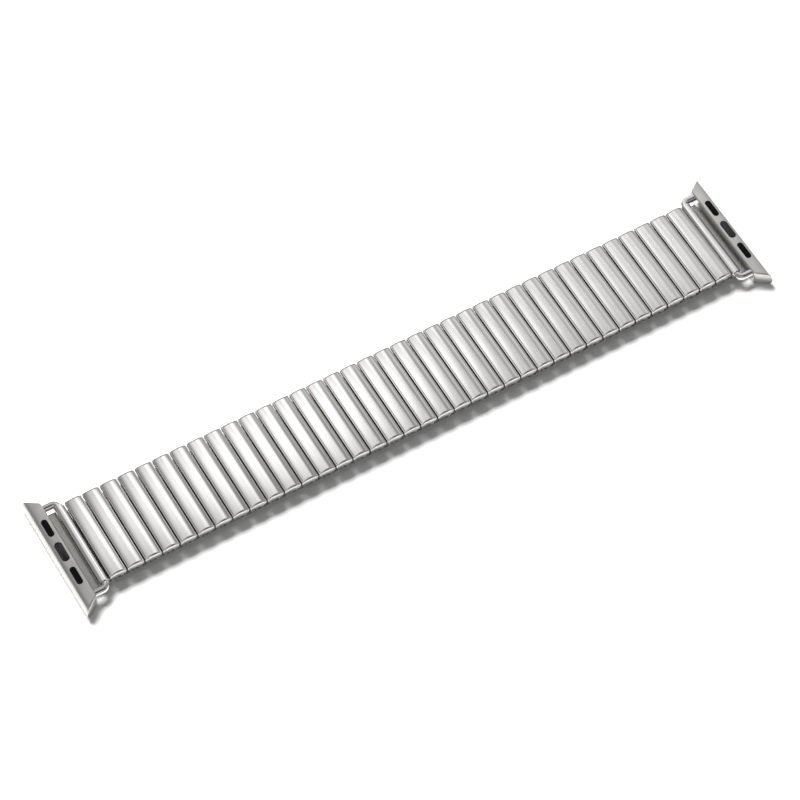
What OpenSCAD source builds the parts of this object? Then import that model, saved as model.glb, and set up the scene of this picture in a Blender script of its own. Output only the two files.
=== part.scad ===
// Expansion watch bracelet with a slide-in lug fitting at each end.
// X runs along the band, Y across it and Z up. The origin is under the middle link, on the face that the band
// lies on. Covered upper sleeves and bare lower sleeves are staggered by half a pitch, and flat staples join them.

/* [Band] */
// Distance from one link to the next
pitch = 3.6; // [3.2:0.1:4.4]
// Width of the band over the covers' turned-down ends
band_w = 18.2; // [16:0.1:22]
// Gap between neighbouring covers, which lets the band bend back a little
cover_gap = 0.2; // [0.16:0.02:0.3]
// Gap between neighbouring lower sleeves
sleeve_gap = 0.2; // [0.16:0.02:0.3]
// Running gap between the upper and the lower row of sleeves
row_gap = 0.12; // [0.1:0.01:0.2]
// Wall of the folded sheet that the sleeves are made of
sleeve_wall = 0.18; // [0.12:0.01:0.24]

/* [Lower sleeve] */
// Height of a lower sleeve
lower_h = 1.5; // [1.4:0.05:1.8]
// Outer corner radius of a lower sleeve
lower_r = 0.6; // [0.4:0.02:0.62]

/* [Upper sleeve and cover] */
// Height of an upper sleeve
upper_h = 1.3; // [1.2:0.05:1.6]
// Outer corner radius of an upper sleeve
upper_r = 0.4; // [0.3:0.05:0.4]
// Sheet thickness of a cover
cover_t = 0.2; // [0.12:0.01:0.28]
// Height of the cover's crown over the upper sleeve
crown_h = 0.7; // [0.6:0.05:0.9]
// Rise of the dome across the link, from its long edges to its crown
dome_x = 0.45; // [0.25:0.05:0.5]
// Rise of the crown along the link, from its ends to its middle
dome_y = 0.12; // [0.05:0.01:0.2]
// Depth of the cover's turned-down ends and sides under the crown
skirt_h = 1.5; // [1.3:0.05:1.6]
// Rise of the cover's lower edge, from the middle of an end to its corners
hem_rise = 0.3; // [0.2:0.05:0.4]
// Side clearance between a cover and the sleeve that it grips
cover_fit = 0.02; // [0.01:0.01:0.04]

/* [Staples and leaf springs] */
// Thickness of the flat staple wire
staple_t = 0.35; // [0.25:0.05:0.4]
// Width of the flat staple wire along the band
staple_w = 0.6; // [0.5:0.05:0.65]
// Distance of a staple from the middle of its upper sleeve
leg_x = 0.96; // [0.9:0.01:0.98]
// How far a staple's legs reach into the sleeves
leg_in = 2.6; // [2:0.1:2.7]
// Bend radius inside a staple's corners
staple_r = 0.15; // [0.1:0.05:0.3]
// Gap between a sleeve's open end and a staple's web
web_gap = 0.05; // [0.03:0.01:0.1]
// Gap between a staple's web and the cover's turned-down end
cap_gap = 0.2; // [0.15:0.01:0.3]
// Thickness of a leaf spring
leaf_t = 0.12; // [0.08:0.01:0.14]
// Width of a leaf spring along the band
leaf_w = 2.1; // [1.5:0.1:2.1]
// Length of a leaf spring across the band
leaf_len = 11.6; // [10.5:0.1:11.8]
// Gap at each end of a leaf spring's bow, under the ceiling and over the floor
leaf_gap = 0.02; // [0.01:0.01:0.04]

/* [End link] */
// Outer diameter of the rolled tube
tube_d = 2.1; // [2:0.05:2.4]
// Height of the tube's centre over the face that the band lies on
tube_z = 2.3; // [2.25:0.05:2.6]
// Gap between the last cover and the tube
tube_gap = 0.12; // [0.1:0.01:0.3]
// How far the flat tongue reaches out from the tube's centre
tongue_out = 2.3; // [2:0.05:2.35]
// Thickness of the tongue
tongue_t = 0.3; // [0.25:0.05:0.5]

/* [Wire loop] */
// Diameter of the loop's wire
wire_d = 1.5; // [1.3:0.05:1.55]
// Running clearance between the wire and the tube, on the radius
wire_run = 0.03; // [0.01:0.01:0.08]
// Centreline radius of the loop's two bends
wire_bend_r = 1; // [0.9:0.05:1.4]
// Straight wire between the tube's end and a bend
wire_straight = 0.1; // [0.05:0.05:0.4]
// Depth of the wire's ends in the lug fitting
wire_in = 1.3; // [1:0.1:1.6]

/* [Lug fitting] */
// Length of the fitting's outer edge, which fills the watch's slot
lug_len = 26.8; // [26:0.1:30]
// Length of its inner edge
lug_inner_len = 22.4; // [22.3:0.1:24.5]
// Height of the fitting's top face
lug_top = 3.25; // [3.2:0.05:3.6]
// Radius of the rounded face that slides into the watch
lug_r = 2.4; // [2.3:0.05:2.6]
// Reach of the rounded face out from the inner face
lug_out = 3.1; // [3:0.05:3.4]
// Height of the rounded face's centre
lug_mid_z = 1.4; // [1.3:0.05:1.6]
// Gap between the tongue and the fitting's inner face
lug_gap = 0.3; // [0.25:0.05:0.4]
// Edge break on the fitting's inner edges
lug_chamfer = 0.2; // [0.1:0.05:0.25]
// Clearance around the wire's ends in their holes
lug_fit = 0.02; // [0.01:0.01:0.04]

/* [Pads and latch] */
// Distance of the pads and the latch from the fitting's inner face
pill_x = 1.3; // [1.2:0.05:1.4]
// Distance of each grip pad from the middle of the fitting
pad_y = 5.7; // [5.2:0.1:6.5]
// Length of a grip pad
pad_len = 4; // [3:0.1:5]
// Width of a grip pad
pad_w = 1.2; // [0.8:0.05:1.3]
// Depth of a grip pad's recess
pad_depth = 0.8; // [0.5:0.05:1]
// Height of the pads over the top face
pad_proud = 0.08; // [0.02:0.01:0.2]
// Length of the latch button
latch_len = 4.4; // [3.6:0.1:5]
// Width of the latch button
latch_w = 1.5; // [1.1:0.05:1.6]
// Height of the latch button
latch_h = 1.5; // [1.2:0.05:1.7]
// Height of the latch button over the top face
latch_proud = 0.12; // [0.05:0.01:0.3]
// Running clearance around the latch button
latch_run = 0.05; // [0.03:0.01:0.08]
// Depth of the latch button's recess
latch_depth = 2.5; // [2.4:0.05:2.6]
// Clearance of a pad in its recess
pad_fit = 0.01; // [0.01:0.01:0.03]
// Thickness of the latch's bowed spring
latch_spring_t = 0.12; // [0.08:0.01:0.2]
// Clearance of the latch spring in its recess
latch_spring_gap = 0.15; // [0.1:0.01:0.2]

/* [Hidden] */
$fn = 64;
fine_fn = 180;
dome_fn = 720;
eps = 0.01;
link_count = 37;
middle_link = (link_count + 1) / 2;
end_step = link_count - middle_link;

// Lower row
lower_w = pitch - sleeve_gap;
upper_z = lower_h + row_gap;

// Cover and upper sleeve
cover_w = pitch - cover_gap;
upper_w = cover_w - 2 * (cover_t + cover_fit);
crown_z = upper_z + upper_h + crown_h;
skirt_z = crown_z - skirt_h;
half_w = band_w / 2;
dome_x_r = (pow(cover_w / 2, 2) + dome_x * dome_x) / (2 * dome_x);
dome_y_r = (half_w * half_w + dome_y * dome_y) / (2 * dome_y);
hem_r = (pow(cover_w / 2, 2) + hem_rise * hem_rise) / (2 * hem_rise);

// Staples: the web stands between the sleeves' open ends and the cover's turned-down end
web_out = half_w - cover_t - cap_gap;
web_in = web_out - staple_t;
sleeve_l = 2 * (web_in - web_gap);
lower_leg_z = lower_h / 2;
upper_leg_z = upper_z + upper_h / 2;

// End link, wire loop and lug fitting, from the middle of the band outwards
last_x = end_step * pitch;
end_sleeve_x = last_x + pitch / 2;
tube_x = last_x + cover_w / 2 + tube_gap + tube_d / 2;
tongue_x = tube_x + tongue_out;
lug_x = tongue_x + lug_gap;
arm_y = half_w + wire_straight + wire_bend_r;
pill_at = lug_x + pill_x;

function two_digits(n) = n < 10 ? str("0", n) : str(n);
function link_name(n) = str("link_", two_digits(n));

SIDES = ["left", "right"];
END_PIECES = ["end_staples", "end_link", "wire_loop", "lug_fitting", "grip_pads", "latch_button", "latch_spring"];

// A rectangle with round corners, centred on the origin
module rounded_rect(w, h, r) {
    square([w - 2 * r, h], center = true);
    square([w, h - 2 * r], center = true);
    for (x = [-1, 1], y = [-1, 1])
        translate([x * (w / 2 - r), y * (h / 2 - r)]) circle(r);
}

// A slot outline with round ends, its length along Y
module stadium(w, len) {
    square([w, len - w], center = true);
    for (y = [-1, 1])
        translate([0, y * (len - w) / 2]) circle(w / 2);
}

// Extrudes an outline drawn in X and Z along Y, centred on Y = 0
module along_y(len) {
    rotate([90, 0, 0]) linear_extrude(len, center = true) children();
}

// Extrudes an outline drawn in Y and Z along X, centred on X = 0
module along_x(len) {
    rotate([90, 0, 90]) linear_extrude(len, center = true) children();
}

// The space in a sleeve of outer width w, height h and corner radius r, drawn in X and Z
module sleeve_bore(w, h, r) {
    rounded_rect(w - 2 * sleeve_wall, h - 2 * sleeve_wall, r - sleeve_wall);
}

// A sleeve folded from sheet and open at both ends; x and z are its middle and its underside
module sleeve(x, z, w, h, r) {
    translate([x, 0, z + h / 2]) along_y(sleeve_l) difference() {
        rounded_rect(w, h, r);
        sleeve_bore(w, h, r);
    }
}

// The lower sleeve whose middle is at x
module lower_sleeve(x) {
    sleeve(x, 0, lower_w, lower_h, lower_r);
}

// The block under a crown that is domed both ways; inset takes the same off every side
module domed_block(inset) {
    intersection() {
        translate([0, 0, (skirt_z + crown_z) / 2])
            cube([cover_w - 2 * inset, band_w - 2 * inset, skirt_h + 2 * inset], center = true);
        translate([0, 0, crown_z - dome_x_r])
            rotate([90, 0, 0]) cylinder(r = dome_x_r - inset, h = 2 * band_w, center = true, $fn = fine_fn);
        translate([0, 0, crown_z - dome_y_r])
            rotate([0, 90, 0]) cylinder(r = dome_y_r - inset, h = 2 * pitch, center = true, $fn = dome_fn);
    }
}

// A pressed cover: a domed sheet with its sides and ends turned down to a hem that rises to the corners
module cover() {
    difference() {
        intersection() {
            domed_block(0);
            translate([0, 0, skirt_z + hem_r])
                rotate([90, 0, 0]) cylinder(r = hem_r, h = 2 * band_w, center = true, $fn = fine_fn);
        }
        domed_block(cover_t);
    }
}

// The outline of a staple at the +Y end, in Y and Z: two legs and the web that joins them
module staple_outline() {
    leg_to = web_in - leg_in;
    mid_z = (upper_leg_z + lower_leg_z) / 2;
    height = upper_leg_z - lower_leg_z + staple_t;
    outer_r = staple_r + staple_t;
    intersection() {
        translate([leg_to + (web_out - leg_to) / 2, mid_z])
            square([web_out - leg_to, height], center = true);
        translate([web_out - leg_in - staple_t - outer_r, mid_z]) difference() {
            rounded_rect(2 * (leg_in + staple_t + outer_r), height, outer_r);
            rounded_rect(2 * (leg_in + outer_r), height - 2 * staple_t, staple_r);
        }
    }
}

// The two staples that stand at one place along the band, one at each end of the sleeves
module staple_pair(x) {
    for (side = [0, 1])
        mirror([0, side, 0]) translate([x, 0, 0]) along_x(staple_w) staple_outline();
}

// A leaf spring bowed from the ceiling of a sleeve down to its floor; z is the sleeve's underside
module leaf_spring(x, z, h) {
    room = h - 2 * sleeve_wall - 2 * leaf_gap;
    rise = room - leaf_t;
    r = (pow(leaf_len / 2, 2) + rise * rise) / (2 * rise);
    translate([x, 0, z + sleeve_wall + leaf_gap]) along_x(leaf_w) intersection() {
        translate([-leaf_len / 2, 0]) square([leaf_len, room]);
        translate([0, r + leaf_t]) difference() {
            circle(r + leaf_t, $fn = dome_fn);
            circle(r, $fn = dome_fn);
        }
    }
}

// One link. It carries the lower sleeve on its outward side, and the middle link carries one on both sides
module link(n) {
    x = (n - middle_link) * pitch;
    outward = n < middle_link ? [-1] : n > middle_link ? [1] : [-1, 1];
    last = n == 1 || n == link_count;
    color("gainsboro") translate([x, 0, 0]) cover();
    color("silver") {
        sleeve(x, upper_z, upper_w, upper_h, upper_r);
        if (!last)
            for (side = outward) lower_sleeve(x + side * pitch / 2);
    }
    color("darkgray") {
        for (side = [-1, 1])
            if (!last || side != outward[0]) staple_pair(x + side * leg_x);
        leaf_spring(x, upper_z, upper_h);
        if (!last)
            for (side = outward) leaf_spring(x + side * pitch / 2, 0, lower_h);
    }
}

// The staples of the last half gap, which tilt when the band is stretched
module end_staples() {
    color("darkgray") staple_pair(last_x + leg_x);
}

// The last lower sleeve, with the rolled tube on it and the tongue that closes the slot
module end_link() {
    tongue_z = lower_h - tongue_t;
    color("gainsboro") difference() {
        union() {
            lower_sleeve(end_sleeve_x);
            translate([tube_x, -half_w, tongue_z]) cube([tongue_out, band_w, tongue_t]);
            translate([tube_x, 0, tube_z]) rotate([90, 0, 0]) cylinder(d = tube_d, h = band_w, center = true);
        }
        translate([tube_x, 0, tube_z]) rotate([90, 0, 0])
            cylinder(r = wire_d / 2 + wire_run, h = band_w + 2 * eps, center = true);
        translate([end_sleeve_x, 0, lower_h / 2])
            along_y(band_w + 2 * eps) sleeve_bore(lower_w, lower_h, lower_r);
    }
    color("darkgray") leaf_spring(end_sleeve_x, 0, lower_h);
}

// The wire loop: a cross bar in the tube, two bends and two arms that end in the lug fitting
module wire_loop() {
    bar = 2 * (arm_y - wire_bend_r);
    arm_x = tube_x + wire_bend_r;
    arm = lug_x + wire_in - arm_x;
    color("gainsboro") {
        translate([tube_x, 0, tube_z]) rotate([90, 0, 0]) cylinder(d = wire_d, h = bar, center = true);
        for (side = [0, 1]) mirror([0, side, 0]) {
            translate([arm_x, bar / 2, tube_z]) rotate([0, 0, 90])
                rotate_extrude(angle = 90) translate([wire_bend_r, 0]) circle(d = wire_d);
            translate([arm_x, arm_y, tube_z]) rotate([0, 90, 0]) cylinder(d = wire_d, h = arm);
        }
    }
}

// The fitting's section in X and Z, from its inner face outwards: flat inside, round where it slides into the watch
module lug_section() {
    c = lug_chamfer;
    intersection() {
        translate([lug_out - lug_r, lug_mid_z]) circle(lug_r, $fn = fine_fn);
        polygon([[0, c], [c, 0], [lug_out, 0], [lug_out, lug_top], [c, lug_top], [0, lug_top - c]]);
    }
}

// The fitting's outline from above: its ends flare out to the tips of the outer edge
module lug_plan() {
    polygon([
        [0, -lug_inner_len / 2], [lug_out, -lug_len / 2],
        [lug_out, lug_len / 2], [0, lug_inner_len / 2]
    ]);
}

module lug_fitting() {
    color("lightgray") difference() {
        intersection() {
            translate([lug_x, 0, 0]) along_y(lug_len) lug_section();
            translate([lug_x, 0, 0]) linear_extrude(lug_top) lug_plan();
        }
        for (side = [-1, 1]) {
            translate([lug_x - eps, side * arm_y, tube_z]) rotate([0, 90, 0])
                cylinder(r = wire_d / 2 + lug_fit, h = wire_in + eps);
            translate([pill_at, side * pad_y, lug_top - pad_depth])
                linear_extrude(pad_depth + eps) stadium(pad_w, pad_len);
        }
        translate([pill_at, 0, lug_top - latch_depth])
            linear_extrude(latch_depth + eps) stadium(latch_w, latch_len);
    }
}

// Two rubber pads that grip the watch's slot
module grip_pads() {
    color("dimgray") for (side = [-1, 1])
        translate([pill_at, side * pad_y, lug_top - pad_depth])
            linear_extrude(pad_depth + pad_proud) stadium(pad_w - 2 * pad_fit, pad_len - 2 * pad_fit);
}

// The button that is pressed to slide the fitting out of the watch
module latch_button() {
    color("dimgray") translate([pill_at, 0, lug_top + latch_proud - latch_h])
        linear_extrude(latch_h) stadium(latch_w - 2 * latch_run, latch_len - 2 * latch_run);
}

// A bowed strip under the latch button
module latch_spring() {
    len = latch_len - latch_w;
    room = latch_depth + latch_proud - latch_h;
    rise = room - latch_spring_t;
    r = (pow(len / 2, 2) + rise * rise) / (2 * rise);
    w = latch_w - 2 * latch_spring_gap;
    color("darkgray") translate([pill_at, 0, lug_top - latch_depth]) along_x(w) intersection() {
        translate([-len / 2, 0]) square([len, room]);
        translate([0, rise - r]) difference() {
            circle(r + latch_spring_t, $fn = fine_fn);
            circle(r, $fn = fine_fn);
        }
    }
}

// One end piece by its name, as it stands at the right end
module end_piece(piece) {
    if (piece == "end_staples") end_staples();
    if (piece == "end_link") end_link();
    if (piece == "wire_loop") wire_loop();
    if (piece == "lug_fitting") lug_fitting();
    if (piece == "grip_pads") grip_pads();
    if (piece == "latch_button") latch_button();
    if (piece == "latch_spring") latch_spring();
}

for (n = [1 : link_count])
    link(n);
for (piece = END_PIECES, side = SIDES)
    mirror([side == "left" ? 1 : 0, 0, 0]) end_piece(piece);
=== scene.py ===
import math

import bpy
from mathutils import Matrix, Vector


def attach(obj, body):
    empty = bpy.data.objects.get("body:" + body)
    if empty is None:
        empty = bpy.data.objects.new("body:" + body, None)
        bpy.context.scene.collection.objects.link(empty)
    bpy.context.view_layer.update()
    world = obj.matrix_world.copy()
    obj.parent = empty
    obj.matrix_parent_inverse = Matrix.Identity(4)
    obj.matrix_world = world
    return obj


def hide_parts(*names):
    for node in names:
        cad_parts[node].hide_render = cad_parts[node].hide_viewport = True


# An expansion watch bracelet: 37 sprung links with domed covers, and a slide-in lug fitting hinged on each
# end. Metres throughout. X runs along the band, Y across it and Z up out of the covers.

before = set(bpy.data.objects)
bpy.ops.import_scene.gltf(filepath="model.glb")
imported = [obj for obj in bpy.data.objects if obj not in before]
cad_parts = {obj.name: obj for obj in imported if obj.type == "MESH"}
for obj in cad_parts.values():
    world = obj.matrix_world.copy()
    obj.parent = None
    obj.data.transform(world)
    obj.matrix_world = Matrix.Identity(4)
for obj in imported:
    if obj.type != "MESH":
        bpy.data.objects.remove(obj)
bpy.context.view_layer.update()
# The CAD nodes come selected; nothing stays selected for the operators below.
bpy.ops.object.select_all(action="DESELECT")

# Sizes of the part, the same as in its source

MM = 0.001

PITCH = 3.6 * MM
LINK_COUNT = 37
MIDDLE_LINK = 19
BAND_W = 18.2 * MM
HALF_W = BAND_W / 2
SLEEVE_WALL = 0.18 * MM

LOWER_W = 3.4 * MM
LOWER_H = 1.5 * MM
LOWER_R = 0.6 * MM
UPPER_W = 2.96 * MM
UPPER_H = 1.3 * MM
UPPER_R = 0.4 * MM
UPPER_Z = 1.62 * MM
SLEEVE_LEN = 16.6 * MM

COVER_W = 3.4 * MM
COVER_T = 0.2 * MM
CROWN_Z = 3.62 * MM
SKIRT_Z = 2.12 * MM
DOME_X = 0.45 * MM
DOME_Y = 0.12 * MM
HEM_RISE = 0.3 * MM

STAPLE_T = 0.35 * MM
STAPLE_W = 0.6 * MM
STAPLE_R = 0.15 * MM
LEG_X = 0.96 * MM
LEG_TIP_Y = 5.75 * MM
WEB_OUT_Y = 8.7 * MM
UPPER_LEG_Z = 2.27 * MM
LOWER_LEG_Z = 0.75 * MM

LEAF_T = 0.12 * MM
LEAF_W = 2.1 * MM
LEAF_LEN = 11.6 * MM
LEAF_GAP = 0.02 * MM

LAST_X = 64.8 * MM
END_SLEEVE_X = 66.6 * MM
TUBE_X = 67.67 * MM
TUBE_Z = 2.3 * MM
TUBE_R = 1.05 * MM
TUBE_BORE_R = 0.78 * MM
TONGUE_OUT = 2.3 * MM
TONGUE_MID_Z = 1.365 * MM

WIRE_R = 0.75 * MM
WIRE_BEND_R = 1.0 * MM
ARM_Y = 10.2 * MM
WIRE_END_X = 71.57 * MM

LUG_X = 70.27 * MM
LUG_LEN = 26.8 * MM
LUG_INNER_LEN = 22.4 * MM
LUG_TOP = 3.25 * MM
LUG_R = 2.4 * MM
LUG_OUT = 3.1 * MM
LUG_MID_Z = 1.4 * MM
LUG_CHAMFER = 0.2 * MM

PILL_X = 71.57 * MM
PAD_Y = 5.7 * MM
PAD_LEN = 4.0 * MM
PAD_W = 1.2 * MM
PAD_DEPTH = 0.8 * MM
PAD_PROUD = 0.08 * MM
PAD_FIT = 0.01 * MM
LATCH_LEN = 4.4 * MM
LATCH_W = 1.5 * MM
LATCH_H = 1.5 * MM
LATCH_PROUD = 0.12 * MM
LATCH_RUN = 0.05 * MM
LATCH_DEPTH = 2.5 * MM
SPRING_T = 0.12 * MM
SPRING_W = 1.2 * MM
SPRING_LEN = 2.9 * MM

# Small forms and fits that only this script has

RIM = 0.2 * MM
CREASE_W = 0.16 * MM
CREASE_DEPTH = 0.1 * MM
RIM_DROP = 0.02 * MM
COVER_CORNER_R = 0.14 * MM
SLEEVE_EDGE = 0.03 * MM
STRIP_EDGE = 0.05 * MM
TUBE_SEAM = math.radians(28)
LUG_SHOULDER = 0.75 * MM
LUG_END_R = 0.25 * MM
LUG_EDGE = 0.06 * MM
WIRE_FIT = 0.02 * MM
PAD_RIM = 0.12 * MM
LATCH_RIM = 0.2 * MM

# Limits for picking and cutting faces, edges and corners

ALIGNED = 0.99
NEAR = 0.001 * MM
CUT_THRESHOLD = 0.0001 * MM
WALL_NORMAL_X = 0.6
WALL_NORMAL_Z = 0.64


# Colour and nodes

def linear(code):
    """An sRGB hex colour as the linear colour that a socket takes."""
    channels = [int(code[i:i + 2], 16) / 255 for i in (1, 3, 5)]
    return tuple(c / 12.92 if c <= 0.04045 else ((c + 0.055) / 1.055) ** 2.4 for c in channels) + (1.0,)


def feed(owner, node, **inputs):
    """Sets inputs of a node, or joins them to sockets. i0, i1 and so on name an input by its number."""
    for key, value in inputs.items():
        numbered = key[0] == "i" and key[1:].isdigit()
        socket = node.inputs[int(key[1:]) if numbered else key.replace("_", " ")]
        if isinstance(value, bpy.types.NodeSocket):
            owner.node_tree.links.new(value, socket)
        else:
            socket.default_value = value


def add_node(material, kind, settings=None, **inputs):
    """Adds one node: settings go to its properties, the rest to its inputs."""
    made = material.node_tree.nodes.new(kind)
    for key, value in (settings or {}).items():
        setattr(made, key, value)
    feed(material, made, **inputs)
    return made


def new_material(name):
    """A material and its surface shader."""
    material = bpy.data.materials.new(name)
    material.use_nodes = True
    return material, material.node_tree.nodes["Principled BSDF"]


def object_place(material):
    """The socket with the object's own coordinates."""
    return add_node(material, "ShaderNodeTexCoord").outputs["Object"]


def noise(material, place, scale, detail):
    """The grey output of a noise pattern, scale to the metre."""
    return add_node(material, "ShaderNodeTexNoise", Vector=place, Scale=scale, Detail=detail).outputs[0]


def spread(material, grey, low, high):
    """A roughness from low to high, over the middle of a pattern's range."""
    return add_node(material, "ShaderNodeMapRange", Value=grey, i1=0.3, i2=0.7, i3=low, i4=high).outputs[0]


def relief(material, height, strength, depth):
    """A bump from a pattern, with its depth in metres."""
    return add_node(material, "ShaderNodeBump", Height=height, Strength=strength, Distance=depth).outputs[0]


def polished_stainless():
    """Pressed 304 strip, buffed: a near mirror with hairlines along the band and a faint haze."""
    material, shader = new_material("polished stainless steel")
    place = object_place(material)
    along = add_node(material, "ShaderNodeMapping", Vector=place, Scale=(1.0, 14.0, 14.0))
    lines = noise(material, along.outputs[0], scale=900.0, detail=4.0)
    haze = noise(material, place, scale=260.0, detail=3.0)
    rough = spread(material, haze, low=0.11, high=0.14)
    bump = relief(material, lines, strength=0.02, depth=0.002 * MM)
    tint = add_node(material, "ShaderNodeValToRGB", Fac=haze)
    tint.color_ramp.elements[0].color = linear("#DDDCDA")
    tint.color_ramp.elements[1].color = linear("#EBEAE8")
    feed(material, shader, Base_Color=tint.outputs[0], Roughness=rough, Normal=bump, Metallic=1.0)
    return material


def blasted_stainless():
    """Cast 316L, fine glass-bead blasted: an even satin grey with a soft grain of about 0.1 mm."""
    material, shader = new_material("bead blasted stainless steel")
    place = object_place(material)
    grain = noise(material, place, scale=9000.0, detail=3.0)
    cloud = noise(material, place, scale=300.0, detail=2.0)
    rough = spread(material, cloud, low=0.3, high=0.38)
    bump = relief(material, grain, strength=0.25, depth=0.01 * MM)
    feed(material, shader, Base_Color=linear("#CFCECB"), Roughness=rough, Normal=bump, Metallic=1.0)
    return material


def spring_steel():
    """Rolled 301 spring strip: a darker grey with fine rolling lines along its length; also laid as painted
    shade on the covers' side walls and on the tongue.
    """
    material, shader = new_material("rolled spring steel")
    place = object_place(material)
    across = add_node(material, "ShaderNodeMapping", Vector=place, Scale=(12.0, 1.0, 12.0))
    lines = noise(material, across.outputs[0], scale=900.0, detail=3.0)
    rough = spread(material, lines, low=0.22, high=0.34)
    bump = relief(material, lines, strength=0.1, depth=0.01 * MM)
    feed(material, shader, Base_Color=linear("#A7A6A3"), Roughness=rough, Normal=bump, Metallic=1.0)
    return material


def moulded_rubber():
    """Moulded black nitrile: matt, with the fine pebble of an eroded mould."""
    material, shader = new_material("moulded nitrile rubber")
    place = object_place(material)
    pebble = add_node(material, "ShaderNodeTexVoronoi", Vector=place, Scale=6500.0)
    cloud = noise(material, place, scale=700.0, detail=2.0)
    rough = spread(material, cloud, low=0.55, high=0.72)
    bump = relief(material, pebble.outputs[0], strength=0.3, depth=0.01 * MM)
    feed(material, shader,
         Base_Color=linear("#080808"), Roughness=rough, Normal=bump, Specular_IOR_Level=0.1)
    return material


def glossy_black():
    """Black glass-filled nylon from a polished mould: smooth, with a long soft highlight."""
    material, shader = new_material("polished black nylon")
    cloud = noise(material, object_place(material), scale=900.0, detail=3.0)
    rough = spread(material, cloud, low=0.16, high=0.24)
    feed(material, shader, Base_Color=linear("#0A0A0A"), Roughness=rough)
    return material


STEEL = polished_stainless()
BLASTED = blasted_stainless()
SPRING = spring_steel()
RUBBER = moulded_rubber()
NYLON = glossy_black()


# Modelling helpers

def started(name, size=(1, 1, 1)):
    """The primitive that was just added, named and sized, with its place and size put into its mesh."""
    obj = bpy.context.object
    obj.name = name
    obj.data.name = name
    obj.scale = size
    bpy.ops.object.transform_apply(location=True, rotation=True, scale=True)
    return obj


def pick(obj, kind, test):
    """Goes into edit mode with only those faces, edges or corners selected whose middle passes the test."""
    bpy.context.view_layer.objects.active = obj
    bpy.ops.object.mode_set(mode="EDIT")
    bpy.ops.mesh.select_mode(type=kind)
    bpy.ops.mesh.select_all(action="DESELECT")
    bpy.ops.object.mode_set(mode="OBJECT")
    mesh = obj.data
    if kind == "FACE":
        for face in mesh.polygons:
            face.select = test(face.center, face.normal)
    elif kind == "EDGE":
        for edge in mesh.edges:
            a, b = (mesh.vertices[i].co for i in edge.vertices)
            edge.select = test((a + b) / 2, (b - a).normalized())
    else:
        for corner in mesh.vertices:
            corner.select = test(corner.co, corner.normal)
    bpy.ops.object.mode_set(mode="EDIT")


def whole(place, direction):
    """The test for pick that everything passes."""
    return True


def done():
    """Leaves edit mode."""
    bpy.ops.object.mode_set(mode="OBJECT")


def extrude(x=0.0, y=0.0, z=0.0):
    """Extrudes what is selected."""
    bpy.ops.mesh.extrude_region_move(TRANSFORM_OT_translate={"value": (x, y, z)})


def round_edges(radius, segments):
    """Rounds the selected edges."""
    bpy.ops.mesh.bevel(offset=radius, offset_type="OFFSET", segments=segments, affect="EDGES")


def modify(obj, kind, **settings):
    """Adds a modifier and applies it."""
    bpy.context.view_layer.objects.active = obj
    modifier = obj.modifiers.new(kind.lower(), kind)
    for key, value in settings.items():
        setattr(modifier, key, value)
    bpy.ops.object.modifier_apply(modifier=modifier.name)


def break_edges(obj, width, angle=60):
    """Breaks every edge at which the faces turn by more than the angle in degrees."""
    modify(obj, "BEVEL", width=width, segments=2, limit_method="ANGLE", angle_limit=math.radians(angle))


def tidy_normals(obj):
    """Merges doubled corners and turns every face outwards."""
    pick(obj, "VERT", whole)
    bpy.ops.mesh.remove_doubles(threshold=NEAR / 2)
    bpy.ops.mesh.normals_make_consistent(inside=False)
    done()


def finished(obj, material, angle=25):
    """Gives the piece its material, and smooth shading up to that angle in degrees between faces."""
    obj.data.materials.clear()
    obj.data.materials.append(material)
    bpy.ops.object.select_all(action="DESELECT")
    obj.select_set(True)
    bpy.context.view_layer.objects.active = obj
    bpy.ops.object.shade_smooth_by_angle(angle=math.radians(angle))
    bpy.ops.object.select_all(action="DESELECT")
    return obj


def with_painted_shade(obj, test):
    """Gives the faces that pass the test the darker spring strip material, as painted shade."""
    obj.data.materials.append(SPRING)
    for face in obj.data.polygons:
        if test(face.center, face.normal):
            face.material_index = 1
    return obj


def copied(obj, name, matrix):
    """A copy with its own mesh, moved or mirrored by the matrix."""
    twin = obj.copy()
    twin.data = obj.data.copy()
    twin.name = name
    twin.data.name = name
    bpy.context.scene.collection.objects.link(twin)
    twin.data.transform(matrix)
    if matrix.determinant() < 0:
        twin.data.flip_normals()
    return twin


def joined(name, *parts):
    """Joins pieces into one."""
    bpy.ops.object.select_all(action="DESELECT")
    for part in parts:
        part.select_set(True)
    bpy.context.view_layer.objects.active = parts[0]
    bpy.ops.object.join()
    parts[0].name = name
    parts[0].data.name = name
    bpy.ops.object.select_all(action="DESELECT")
    return parts[0]


def shifted(x):
    """A move along the band."""
    return Matrix.Translation((x, 0, 0))


def mirrored(axis):
    """A mirror image along the axis."""
    return Matrix.Scale(-1, 4, axis)


ALONG = Vector((1, 0, 0))
ACROSS = Vector((0, 1, 0))
UP = Vector((0, 0, 1))
QUARTER_TURN = math.pi / 2


# The pressed cover

def circle_drop(distance, half, rise):
    """How far an arc that rises that much over half its width has dropped at a distance from its top."""
    radius = (half * half + rise * rise) / (2 * rise)
    return radius - math.sqrt(radius * radius - distance * distance)


def rim_profile():
    """Steps from the dome's edge to the cover's side: into the crease, out again and round the folded rim."""
    steps = [(CREASE_W / 2, -CREASE_DEPTH), (CREASE_W / 2, CREASE_DEPTH - RIM_DROP)]
    turns = [math.radians(angle) for angle in (0, 22.5, 45, 67.5, 90)]
    for a, b in zip(turns, turns[1:]):
        steps.append((RIM * (math.sin(b) - math.sin(a)), RIM * (math.cos(b) - math.cos(a))))
    return steps


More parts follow.
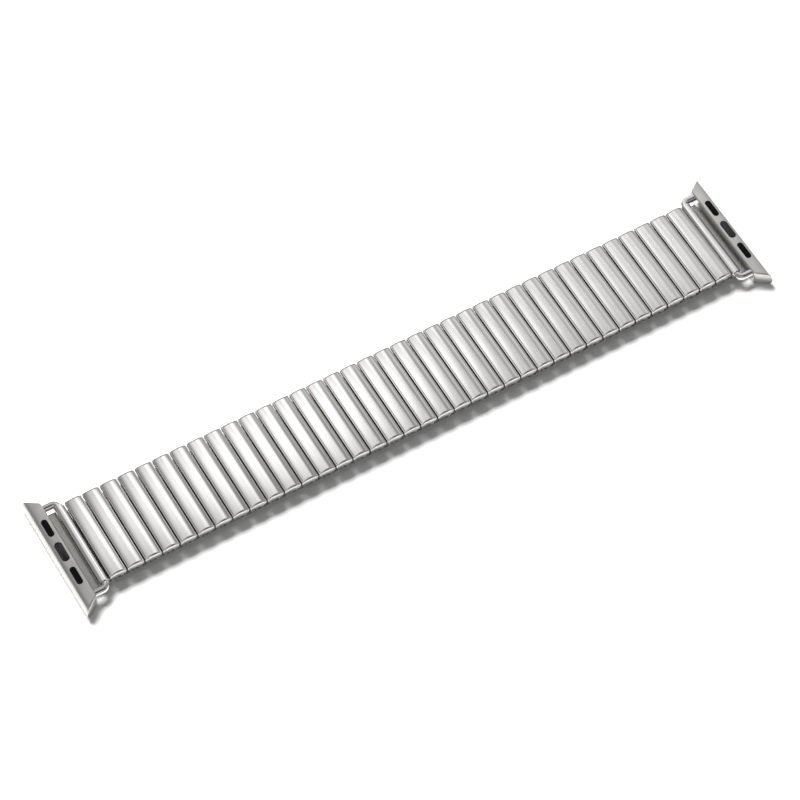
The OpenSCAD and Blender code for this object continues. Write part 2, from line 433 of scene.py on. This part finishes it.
def make_cover():
    """A domed plate with a pressed crease round it, a rolled rim, and sides that end in a curved hem."""
    half_x = COVER_W / 2 - RIM - CREASE_W
    half_y = HALF_W - RIM - CREASE_W
    bpy.ops.mesh.primitive_grid_add(x_subdivisions=14, y_subdivisions=30, size=1, location=(0, 0, CROWN_Z))
    cover = started("cover", (2 * half_x, 2 * half_y, 1))
    for point in cover.data.vertices:
        point.co.z -= circle_drop(point.co.x, COVER_W / 2, DOME_X) + circle_drop(point.co.y, HALF_W, DOME_Y)
    plate_x = half_x - NEAR
    plate_y = half_y - NEAR
    pick(cover, "EDGE", lambda place, line: abs(place.x) > plate_x or abs(place.y) > plate_y)
    for out, up in rim_profile():
        extrude(z=up)
        bpy.ops.transform.resize(
            value=((half_x + out) / half_x, (half_y + out) / half_y, 1), center_override=(0, 0, CROWN_Z))
        half_x += out
        half_y += out
    extrude(z=SKIRT_Z - CROWN_Z)
    bpy.ops.transform.resize(value=(1, 1, 0), center_override=(0, 0, SKIRT_Z))
    done()

    def at_corner(place, line):
        """Whether an edge runs down one of the four corners of the rim and the side walls."""
        slanted = abs(line.y) < ALIGNED and abs(line.x) < ALIGNED
        outside = abs(place.x) > COVER_W / 2 - RIM and abs(place.y) > HALF_W - RIM
        return slanted and outside and abs(abs(place.x) - COVER_W / 2 - abs(place.y) + HALF_W) < NEAR

    pick(cover, "EDGE", at_corner)
    round_edges(COVER_CORNER_R, 4)
    done()
    for point in cover.data.vertices:
        if point.co.z < SKIRT_Z + 10 * NEAR:
            point.co.z = SKIRT_Z + circle_drop(point.co.x, COVER_W / 2, HEM_RISE)
    tidy_normals(cover)
    modify(cover, "SOLIDIFY", thickness=COVER_T, offset=-1, use_even_offset=True)
    # Painted shade: the long side walls get the darker spring material, so that the seams between covers read
    # as dark lines.
    return with_painted_shade(
        finished(cover, STEEL),
        lambda place, normal: normal.z < WALL_NORMAL_Z and abs(normal.x) > WALL_NORMAL_X)


# The folded sleeves

def make_sleeve(name, width, height, low, radius):
    """A block with its long edges rounded and its ends open, given the sheet's thickness inwards."""
    bpy.ops.mesh.primitive_cube_add(size=1, location=(0, 0, low + height / 2))
    sleeve = started(name, (width, SLEEVE_LEN, height))
    pick(sleeve, "EDGE", lambda place, line: abs(line.y) > ALIGNED)
    round_edges(radius, 5)
    done()
    pick(sleeve, "FACE", lambda place, normal: abs(normal.y) > ALIGNED)
    bpy.ops.mesh.delete(type="FACE")
    done()
    modify(sleeve, "SOLIDIFY", thickness=SLEEVE_WALL, offset=-1, use_even_offset=True)
    break_edges(sleeve, SLEEVE_EDGE)
    return finished(sleeve, STEEL)


# The staples

def make_staple_pair():
    """A flat wire bent to a staple: leg, bend, web, bend and leg, and the same at the band's other edge."""
    bend = STAPLE_R + STAPLE_T / 2
    bend_y = WEB_OUT_Y - STAPLE_T - STAPLE_R
    bpy.ops.mesh.primitive_plane_add(
        size=1, location=(0, LEG_TIP_Y, LOWER_LEG_Z), rotation=(QUARTER_TURN, 0, 0))
    staple = started("staple", (STAPLE_W, STAPLE_T, 1))
    pick(staple, "FACE", whole)
    extrude(y=bend_y - LEG_TIP_Y)
    bpy.ops.mesh.spin(steps=4, angle=-QUARTER_TURN, center=(0, bend_y, LOWER_LEG_Z + bend), axis=ALONG)
    extrude(z=UPPER_LEG_Z - LOWER_LEG_Z - 2 * bend)
    bpy.ops.mesh.spin(steps=4, angle=-QUARTER_TURN, center=(0, bend_y, UPPER_LEG_Z - bend), axis=ALONG)
    extrude(y=LEG_TIP_Y - bend_y)
    done()
    tidy_normals(staple)
    break_edges(staple, STRIP_EDGE)
    pair = joined("staple_pair", staple, copied(staple, "staple_far", mirrored(ACROSS)))
    return finished(pair, STEEL)


# The leaf springs

def make_leaf(name, low, room):
    """A strip bowed from the sleeve's floor at its middle up to the ceiling at its ends."""
    rise = room - LEAF_T
    bpy.ops.mesh.primitive_grid_add(x_subdivisions=1, y_subdivisions=24, size=1, location=(0, 0, low))
    leaf = started(name, (LEAF_W, LEAF_LEN, 1))
    for point in leaf.data.vertices:
        point.co.z += circle_drop(point.co.y, LEAF_LEN / 2, rise)
    modify(leaf, "SOLIDIFY", thickness=LEAF_T, offset=1)
    return finished(leaf, SPRING)


# The end link: a sleeve with the sheet rolled on round the wire and out to a tongue

def make_end_tube():
    """A rolled sheet: the tube round the wire, and the tongue that goes out from it and closes the slot."""
    wall = TUBE_R - TUBE_BORE_R
    middle = TUBE_R - wall / 2
    bpy.ops.mesh.primitive_circle_add(
        vertices=64, radius=middle, fill_type="NOTHING", location=(TUBE_X, -HALF_W, TUBE_Z),
        rotation=(QUARTER_TURN, 0, 0))
    tube = started("end_tube")
    # The angles count from the tube's lowest point, where the tongue starts.
    pick(tube, "VERT",
         lambda place, normal: 0.01 < math.atan2(place.x - TUBE_X, TUBE_Z - place.z) < TUBE_SEAM)
    bpy.ops.mesh.delete(type="VERT")
    done()
    pick(tube, "VERT", lambda place, normal: abs(place.x - TUBE_X) < NEAR and place.z < TUBE_Z)
    extrude(x=TONGUE_OUT)
    done()
    pick(tube, "VERT", whole)
    extrude(y=BAND_W)
    bpy.ops.mesh.select_all(action="SELECT")
    bpy.ops.mesh.normals_make_consistent(inside=False)
    done()
    modify(tube, "SOLIDIFY", thickness=wall, offset=0, use_even_offset=True)
    break_edges(tube, STRIP_EDGE)
    # Painted shade: the tongue, which lies low beside the fitting, gets the darker spring material.
    return with_painted_shade(
        finished(tube, STEEL, angle=20),
        lambda place, normal: place.x > TUBE_X and place.z < TONGUE_MID_Z + wall)


# The wire loop

def make_wire_loop():
    """A round wire: an arm out of the fitting, a bend, the bar in the tube, a bend and the other arm."""
    arm_x = TUBE_X + WIRE_BEND_R
    bar_y = ARM_Y - WIRE_BEND_R
    bpy.ops.mesh.primitive_circle_add(
        vertices=32, radius=WIRE_R, fill_type="NGON", location=(WIRE_END_X, -ARM_Y, TUBE_Z),
        rotation=(0, QUARTER_TURN, 0))
    loop = started("wire_loop")
    pick(loop, "FACE", whole)
    extrude(x=arm_x - WIRE_END_X)
    bpy.ops.mesh.spin(steps=10, angle=QUARTER_TURN, center=(arm_x, -bar_y, TUBE_Z), axis=UP)
    extrude(y=2 * bar_y)
    bpy.ops.mesh.spin(steps=10, angle=QUARTER_TURN, center=(arm_x, bar_y, TUBE_Z), axis=UP)
    extrude(x=WIRE_END_X - arm_x)
    done()
    tidy_normals(loop)
    return finished(loop, STEEL)


# The lug fitting

def cut(obj, test, point, outwards, away=False):
    """Cuts the picked faces by a plane. With away, what lies beyond it is dropped and the cut closed."""
    pick(obj, "FACE", test)
    bpy.ops.mesh.bisect(
        plane_co=point, plane_no=outwards, use_fill=away, clear_outer=away, threshold=CUT_THRESHOLD)
    done()


def make_pill(name, width, length, low, high, y=0.0, rim=0.0):
    """An upright block with its ends rounded to half circles and, with a rim, its top edge rounded."""
    bpy.ops.mesh.primitive_cube_add(size=1, location=(PILL_X, y, (low + high) / 2))
    pill = started(name, (width, length, high - low))
    pick(pill, "EDGE", lambda place, line: abs(line.z) > ALIGNED)
    # A hair less than half the width, so that two bevels never meet in one line of corners.
    round_edges(width * 0.4995, 10)
    done()
    if rim:
        pick(pill, "EDGE", lambda place, line: place.z > high - NEAR and abs(line.z) < 1 - ALIGNED)
        round_edges(rim, 4)
        done()
    return pill


def carve(obj, cutter):
    """Takes the cutter's shape out of the piece, and removes the cutter."""
    modify(obj, "BOOLEAN", object=cutter, operation="DIFFERENCE", solver="EXACT")
    bpy.data.objects.remove(cutter)


def ease_shoulder(lug):
    """Rounds the step from the flat top to the turned side, by lowering both a little where they meet."""
    axis_x = LUG_X + LUG_OUT - LUG_R
    step_x = axis_x + math.sqrt(LUG_R ** 2 - (LUG_TOP - LUG_MID_Z) ** 2)
    for back in (0.2, 0.4, 0.6, 0.8, 1.0):
        cut(lug, lambda place, normal: normal.z > ALIGNED and place.z > LUG_MID_Z,
            (step_x - back * LUG_SHOULDER, 0, 0), ALONG)
    for point in lug.data.vertices:
        along = point.co.x - axis_x
        if point.co.z > LUG_MID_Z and 0 < along < LUG_R:
            turned = LUG_MID_Z + math.sqrt(LUG_R ** 2 - along ** 2)
            near = max(0, 1 - abs(turned - LUG_TOP) / LUG_SHOULDER)
            point.co.z -= near ** 2 * LUG_SHOULDER / 4


def make_lug_fitting():
    """A bar turned round on its outer side, cut flat below, above and inside, with its ends flared."""
    bpy.ops.mesh.primitive_cylinder_add(
        vertices=128, radius=LUG_R, depth=LUG_LEN, location=(LUG_X + LUG_OUT - LUG_R, 0, LUG_MID_Z),
        rotation=(QUARTER_TURN, 0, 0))
    lug = started("lug_fitting")
    flare = Vector((LUG_INNER_LEN / 2 - LUG_LEN / 2, LUG_OUT, 0)).normalized()
    cut(lug, whole, (0, 0, 0), -UP, away=True)
    cut(lug, whole, (0, 0, LUG_TOP), UP, away=True)
    cut(lug, whole, (LUG_X, 0, 0), -ALONG, away=True)
    cut(lug, whole, (LUG_X, LUG_INNER_LEN / 2, 0), flare, away=True)
    cut(lug, whole, (LUG_X, -LUG_INNER_LEN / 2, 0), (flare.x, -flare.y, 0), away=True)
    pick(lug, "EDGE", lambda place, line: place.x < LUG_X + NEAR and abs(line.y) > ALIGNED)
    round_edges(LUG_CHAMFER, 1)
    done()
    for side in (-1, 1):
        end_face = Vector((flare.x, side * flare.y, 0))
        end_place = Vector((LUG_X, side * LUG_INNER_LEN / 2, 0))
        # A ring of edges a little inwards of the end bounds the rounding.
        cut(lug, whole, end_place - end_face * 1.4 * LUG_END_R, end_face)
        pick(lug, "FACE", lambda place, normal: normal.dot(end_face) > 0.999)
        bpy.ops.mesh.region_to_loop()
        round_edges(LUG_END_R, 4)
        done()
    ease_shoulder(lug)
    for side in (-1, 1):
        bpy.ops.mesh.primitive_cylinder_add(
            vertices=48, radius=WIRE_R + WIRE_FIT, depth=2 * (WIRE_END_X - LUG_X),
            location=(LUG_X, side * ARM_Y, TUBE_Z), rotation=(0, QUARTER_TURN, 0))
        carve(lug, started("wire_hole"))
        carve(lug, make_pill(
            "pad_recess", PAD_W, PAD_LEN, LUG_TOP - PAD_DEPTH, LUG_TOP + PAD_DEPTH, side * PAD_Y))
    carve(lug, make_pill("latch_recess", LATCH_W, LATCH_LEN, LUG_TOP - LATCH_DEPTH, LUG_TOP + LATCH_DEPTH))
    break_edges(lug, LUG_EDGE, angle=30)
    return finished(lug, BLASTED, angle=20)


def make_latch_spring():
    """A short bowed strip on the floor of the latch's recess."""
    low = LUG_TOP - LATCH_DEPTH
    rise = LATCH_DEPTH + LATCH_PROUD - LATCH_H - SPRING_T
    bpy.ops.mesh.primitive_grid_add(
        x_subdivisions=1, y_subdivisions=16, size=1, location=(PILL_X, 0, low + rise))
    spring = started("latch_spring", (SPRING_W, SPRING_LEN, 1))
    for point in spring.data.vertices:
        point.co.z -= circle_drop(point.co.y, SPRING_LEN / 2, rise)
    modify(spring, "SOLIDIFY", thickness=SPRING_T, offset=1)
    return finished(spring, SPRING)


# The links

def placed(source, name, matrix, body, slot, *nodes):
    """A copy of a piece on its body, with the CAD nodes that it stands for hidden. The slot is not used."""
    piece = copied(source, name, matrix)
    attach(piece, body)
    if nodes:
        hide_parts(*nodes)


def outer_sides(number):
    """The sides on which a link carries a lower sleeve: its outer one, and at the middle link both."""
    if number < MIDDLE_LINK:
        return [-1]
    if number > MIDDLE_LINK:
        return [1]
    return [-1, 1]


cover = make_cover()
upper_sleeve = make_sleeve("upper_sleeve", UPPER_W, UPPER_H, UPPER_Z, UPPER_R)
lower_sleeve = make_sleeve("lower_sleeve", LOWER_W, LOWER_H, 0, LOWER_R)
staple_pair = make_staple_pair()
leaf_inset = SLEEVE_WALL + LEAF_GAP
upper_leaf = make_leaf("upper_leaf", UPPER_Z + leaf_inset, UPPER_H - 2 * leaf_inset)
lower_leaf = make_leaf("lower_leaf", leaf_inset, LOWER_H - 2 * leaf_inset)

for number in range(1, LINK_COUNT + 1):
    tag = f"{number:02d}"
    body = f"link_{tag}"
    x = (number - MIDDLE_LINK) * PITCH
    outward = outer_sides(number)
    last = number in (1, LINK_COUNT)
    placed(cover, f"cover_{tag}", shifted(x), body, "polished_steel", body)
    placed(upper_sleeve, f"upper_sleeve_{tag}", shifted(x), body, "polished_steel")
    placed(upper_leaf, f"upper_leaf_{tag}", shifted(x), body, "spring_steel")
    for side in (-1, 1):
        end = "in" if side == -outward[0] else "out"
        # The last link's outer staples tilt on their own body and come with the end pieces.
        if not last or side != outward[0]:
            placed(staple_pair, f"staples_{tag}_{end}", shifted(x + side * LEG_X), body, "polished_steel")
    if last:
        continue
    for side in outward:
        at = shifted(x + side * PITCH / 2)
        name = tag
        if number == MIDDLE_LINK:
            name += "_left" if side < 0 else "_right"
        placed(lower_sleeve, f"lower_sleeve_{name}", at, body, "polished_steel")
        placed(lower_leaf, f"lower_leaf_{name}", at, body, "spring_steel")


# The ends

end_staples = copied(staple_pair, "end_staples", shifted(LAST_X + LEG_X))
end_sleeve = copied(lower_sleeve, "end_sleeve", shifted(END_SLEEVE_X))
end_leaf = copied(lower_leaf, "end_leaf", shifted(END_SLEEVE_X))
end_tube = make_end_tube()
wire_loop = make_wire_loop()
lug_fitting = make_lug_fitting()
latch_spring = make_latch_spring()
pads = []
for side in (-1, 1):
    pads.append(make_pill(
        "grip_pad", PAD_W - 2 * PAD_FIT, PAD_LEN - 2 * PAD_FIT, LUG_TOP - PAD_DEPTH, LUG_TOP + PAD_PROUD,
        side * PAD_Y, PAD_RIM))
grip_pads = finished(joined("grip_pads", *pads), RUBBER)
latch_button = finished(make_pill(
    "latch_button", LATCH_W - 2 * LATCH_RUN, LATCH_LEN - 2 * LATCH_RUN, LUG_TOP + LATCH_PROUD - LATCH_H,
    LUG_TOP + LATCH_PROUD, rim=LATCH_RIM), NYLON)

# Each source with its body, its slot and the CAD nodes that it stands for
END_PIECES = [
    (end_staples, "end_staples", "polished_steel", ["end_staples"]),
    (end_sleeve, "end_link", "polished_steel", ["end_link"]),
    (end_leaf, "end_link", "spring_steel", []),
    (end_tube, "end_link", "polished_steel", []),
    (wire_loop, "lug_fitting", "polished_steel", ["wire_loop"]),
    (lug_fitting, "lug_fitting", "blasted_steel", ["lug_fitting"]),
    (grip_pads, "lug_fitting", "pad_rubber", ["grip_pads"]),
    (latch_spring, "lug_fitting", "spring_steel", ["latch_spring"]),
    (latch_button, "latch_button", "latch_plastic", ["latch_button"]),
]
for side, matrix in (("right", Matrix.Identity(4)), ("left", mirrored(ALONG))):
    for source, body, slot, nodes in END_PIECES:
        placed(source, f"{source.name}_part_{side}", matrix, f"{body}_{side}", slot,
               *[f"{node}_{side}" for node in nodes])

link_pieces = [cover, upper_sleeve, lower_sleeve, staple_pair, upper_leaf, lower_leaf]
for source in link_pieces + [row[0] for row in END_PIECES]:
    bpy.data.objects.remove(source)


# The stage: a white floor, the cards that the steel reflects, and one soft box

FLOOR_SIZE = 6.0

# Each card's name, middle, half length, half width, strength, and turn in degrees
CARDS = [
    ("low strip", (-0.027, 0.038, 0.06), 0.051, 0.022, 0.78, -8),
    ("middle strip", (0.045, 0.094, 0.113), 0.069, 0.036, 0.88, 30),
    ("high strip", (-0.107, 0.262, 0.5), 0.376, 0.087, 0.85, -7),
    ("right strip", (0.177, 0.278, 0.5), 0.248, 0.055, 0.45, 6),
    ("far right strip", (0.21, 0.29, 0.5), 0.17, 0.22, 0.75, 0),
    ("back card", (0.01, 0.346, 0.06), 0.482, 0.117, 1.35, -67),
    ("front card", (0, -0.55, 0.3), 0.7, 0.33, 0.75, 0),
]

FLAG_PLACE = Vector((0.28, -0.6, 0.72))
FLAG_SIZE = (0.5, 0.9, 1)

KEY_PLACE = Vector((-0.035, 0.78, 1.0))
KEY_LENGTH = 0.75
KEY_WIDTH = 0.55
KEY_POWER = 33.0

WORLD_GREY = (0.3, 0.3, 0.3, 1.0)


def make_floor():
    """A wide sheet of matt white card."""
    bpy.ops.mesh.primitive_plane_add(size=FLOOR_SIZE, location=(0, 0, 0))
    floor = started("floor")
    material, shader = new_material("white card")
    feed(material, shader, Base_Color=linear("#F4F4F3"), Roughness=0.9, Specular_IOR_Level=0.1)
    floor.data.materials.append(material)


def make_card(name, place, half_x, half_y, strength, turn):
    """A level glowing sheet that fades to clear at its edges, seen only in the steel's reflections."""
    bpy.ops.mesh.primitive_plane_add(size=2, location=place)
    card = bpy.context.object
    card.name = name
    card.scale = (half_x, half_y, 1)
    card.rotation_euler.z = math.radians(turn)
    card.visible_camera = False
    card.visible_diffuse = False
    card.visible_shadow = False
    material, shader = new_material(name)
    material.node_tree.nodes.remove(shader)
    at = object_place(material)
    fade = add_node(material, "ShaderNodeTexGradient", {"gradient_type": "SPHERICAL"}, Vector=at)
    power = add_node(
        material, "ShaderNodeMath", {"operation": "MULTIPLY"}, i0=fade.outputs[1], i1=strength)
    glow = add_node(material, "ShaderNodeEmission", Strength=power.outputs[0])
    clear = add_node(material, "ShaderNodeBsdfTransparent")
    both = add_node(material, "ShaderNodeAddShader", i0=glow.outputs[0], i1=clear.outputs[0])
    feed(material, material.node_tree.nodes["Material Output"], Surface=both.outputs[0])
    card.data.materials.append(material)


def make_flag():
    """A black card off to the camera's right, which darkens the folds that face it."""
    bpy.ops.mesh.primitive_plane_add(size=1, location=FLAG_PLACE)
    flag = bpy.context.object
    flag.name = "flag"
    flag.scale = FLAG_SIZE
    flag.rotation_mode = "QUATERNION"
    flag.rotation_quaternion = FLAG_PLACE.to_track_quat("Z", "Y")
    flag.visible_camera = False
    material, shader = new_material("black card")
    feed(material, shader, Base_Color=linear("#060606"), Roughness=1.0, Specular_IOR_Level=0.0)
    flag.data.materials.append(material)


def make_key_light():
    """A soft box over the band's far side, which neither the camera nor the steel's reflections show."""
    data = bpy.data.lights.new("key", "AREA")
    data.shape = "RECTANGLE"
    data.size = KEY_LENGTH
    data.size_y = KEY_WIDTH
    data.energy = KEY_POWER
    light = bpy.data.objects.new("key", data)
    bpy.context.scene.collection.objects.link(light)
    light.location = KEY_PLACE
    light.rotation_mode = "QUATERNION"
    light.rotation_quaternion = (-KEY_PLACE).to_track_quat("-Z", "Y")
    light.visible_camera = False
    light.visible_glossy = False


def make_world():
    """An even grey all round, for whatever no card covers."""
    world = bpy.data.worlds.new("studio")
    world.use_nodes = True
    feed(world, world.node_tree.nodes["Background"], Color=WORLD_GREY, Strength=1.0)
    bpy.context.scene.world = world


make_floor()
for row in CARDS:
    make_card(*row)
make_flag()
make_key_light()
make_world()
bpy.context.scene.view_settings.view_transform = "Standard"


# The camera stands where a fit of the cover corners in the photo puts it

AZIMUTH = math.radians(-30)
ELEVATION = math.radians(57)
DISTANCE = 0.657
AIM = Vector((0, 0, 0.0031))
SENSOR = 36.0
FOCAL_LENGTH = 158.7
SHIFT_X = -0.006
SHIFT_Y = -0.0175

back = Vector((
    math.sin(AZIMUTH) * math.cos(ELEVATION), -math.cos(AZIMUTH) * math.cos(ELEVATION), math.sin(ELEVATION)))
camera = bpy.data.objects.new("camera", bpy.data.cameras.new("camera"))
bpy.context.scene.collection.objects.link(camera)
camera.location = AIM + back * DISTANCE
camera.rotation_mode = "QUATERNION"
camera.rotation_quaternion = (-back).to_track_quat("-Z", "Y")
camera.data.sensor_width = SENSOR
camera.data.lens = FOCAL_LENGTH
camera.data.shift_x = SHIFT_X
camera.data.shift_y = SHIFT_Y
camera.data.clip_start = 0.05
camera.data.clip_end = 10.0
bpy.context.scene.camera = camera
